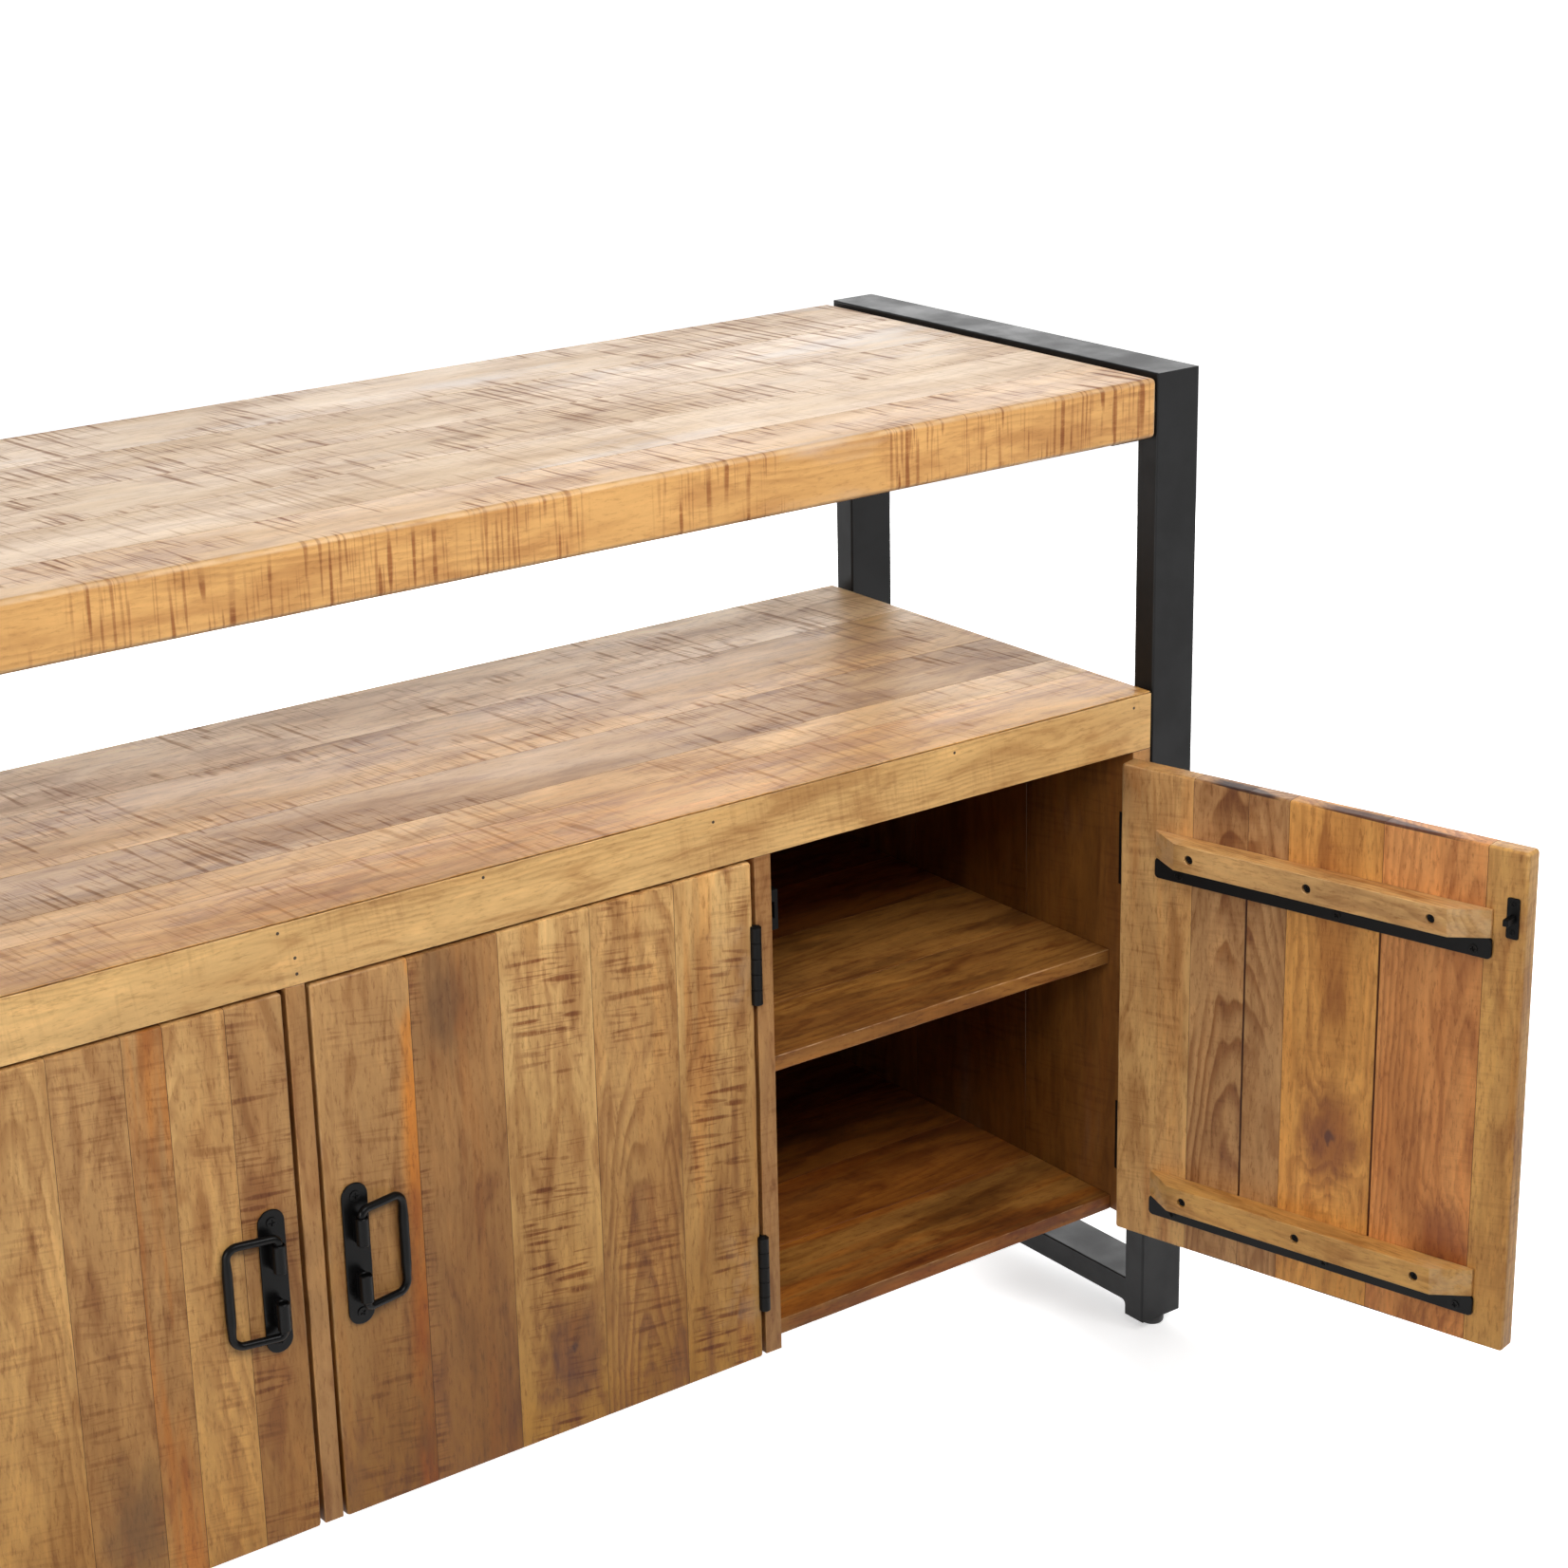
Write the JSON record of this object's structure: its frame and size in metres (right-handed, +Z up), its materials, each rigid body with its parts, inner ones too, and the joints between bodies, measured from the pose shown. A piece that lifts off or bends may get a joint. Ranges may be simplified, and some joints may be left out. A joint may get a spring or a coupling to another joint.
{
  "type": "sideboard buffet",
  "caption": "Reclaimed-wood sideboard with planked doors on iron hinges, an open display shelf and steel tube end frames that carry the tabletop.",
  "frame": {"origin": "centre of the whole object's box at rest, with the right door standing open, on the floor", "axes": "+X along the length, to the right as seen from the front; -Y towards the front, where the doors open; +Z up"},
  "size_m": [1.3902, 0.833, 0.9],
  "materials": {
    "tabletop_wood": "pale reclaimed planks with saw marks, matte lacquer",
    "cabinet_wood": "warm tan reclaimed board, matte lacquer",
    "fascia_wood": "yellow-tan figured board, satin lacquer",
    "divider_wood": "honey-orange board, satin lacquer",
    "interior_wood": "dark orange-brown stained board, semi-gloss",
    "door_wood": "vertical reclaimed planks with saw marks, matte lacquer",
    "batten_wood": "tan batten, satin lacquer",
    "frame_steel": "charcoal satin powder coat",
    "strap_iron": "black satin flat bar",
    "hinge_iron": "black iron, slightly worn",
    "handle_iron": "black forged iron, waxed",
    "catch_metal": "bronze-black plated catch",
    "glide_plastic": "black moulded foot"
  },
  "bodies": {
    "carcass": {"tabletop": "tabletop_wood", "end_frame_left": "frame_steel", "end_frame_right": "frame_steel", "cabinet_top": "cabinet_wood", "front_fascia": "fascia_wood", "side_panel_left": "cabinet_wood", "side_panel_right": "cabinet_wood", "divider_left": "divider_wood", "divider_right": "divider_wood", "bottom_panel": "interior_wood", "back_panel": "interior_wood", "shelf_left": "interior_wood", "shelf_middle": "interior_wood", "shelf_right": "interior_wood", "hinge_lower_cabinet_leaf_left": "hinge_iron", "hinge_upper_cabinet_leaf_left": "hinge_iron", "roller_catch_left": "catch_metal", "hinge_lower_cabinet_leaf_middle": "hinge_iron", "hinge_upper_cabinet_leaf_middle": "hinge_iron", "roller_catch_middle": "catch_metal", "hinge_lower_cabinet_leaf_right": "hinge_iron", "hinge_upper_cabinet_leaf_right": "hinge_iron", "roller_catch_right": "catch_metal", "glide_front_left": "glide_plastic", "glide_rear_left": "glide_plastic", "glide_front_right": "glide_plastic", "glide_rear_right": "glide_plastic"},
    "door_left": {"door_left": "door_wood", "batten_lower_left": "batten_wood", "strap_lower_left": "strap_iron", "hinge_lower_door_leaf_left": "hinge_iron", "batten_upper_left": "batten_wood", "strap_upper_left": "strap_iron", "hinge_upper_door_leaf_left": "hinge_iron", "handle_plate_left": "handle_iron", "catch_strike_left": "catch_metal"},
    "handle_bail_left": {"handle_bail_left": "handle_iron"},
    "door_middle": {"door_middle": "door_wood", "batten_lower_middle": "batten_wood", "strap_lower_middle": "strap_iron", "hinge_lower_door_leaf_middle": "hinge_iron", "batten_upper_middle": "batten_wood", "strap_upper_middle": "strap_iron", "hinge_upper_door_leaf_middle": "hinge_iron", "handle_plate_middle": "handle_iron", "catch_strike_middle": "catch_metal"},
    "handle_bail_middle": {"handle_bail_middle": "handle_iron"},
    "door_right": {"door_right": "door_wood", "batten_lower_right": "batten_wood", "strap_lower_right": "strap_iron", "hinge_lower_door_leaf_right": "hinge_iron", "batten_upper_right": "batten_wood", "strap_upper_right": "strap_iron", "hinge_upper_door_leaf_right": "hinge_iron", "handle_plate_right": "handle_iron", "catch_strike_right": "catch_metal"},
    "handle_bail_right": {"handle_bail_right": "handle_iron"}
  },
  "joints": [
    {"name": "door_left_swing", "type": "hinge", "parent": "carcass", "child": "door_left", "pos_m": [-0.61961, -0.03804, 0.35], "axis": [0, 0, -1], "range_deg": [0, 170]},
    {"name": "door_middle_swing", "type": "hinge", "parent": "carcass", "child": "door_middle", "pos_m": [0.18739, -0.03804, 0.35], "axis": [0, 0, 1], "range_deg": [0, 115]},
    {"name": "door_right_swing", "type": "hinge", "parent": "carcass", "child": "door_right", "pos_m": [0.59339, -0.03804, 0.35], "axis": [0, 0, 1], "range_deg": [-104, 66]},
    {"name": "handle_left_swing", "type": "hinge", "parent": "door_left", "child": "handle_bail_left", "pos_m": [-0.25811, -0.04754, 0.3465], "axis": [0, 0, 1], "range_deg": [0, 100]},
    {"name": "handle_middle_swing", "type": "hinge", "parent": "door_middle", "child": "handle_bail_middle", "pos_m": [-0.18811, -0.04754, 0.3465], "axis": [0, 0, -1], "range_deg": [0, 100]},
    {"name": "handle_right_swing", "type": "hinge", "parent": "door_right", "child": "handle_bail_right", "pos_m": [0.69006, -0.3865, 0.3465], "axis": [0, 0, -1], "range_deg": [0, 100]}
  ]
}
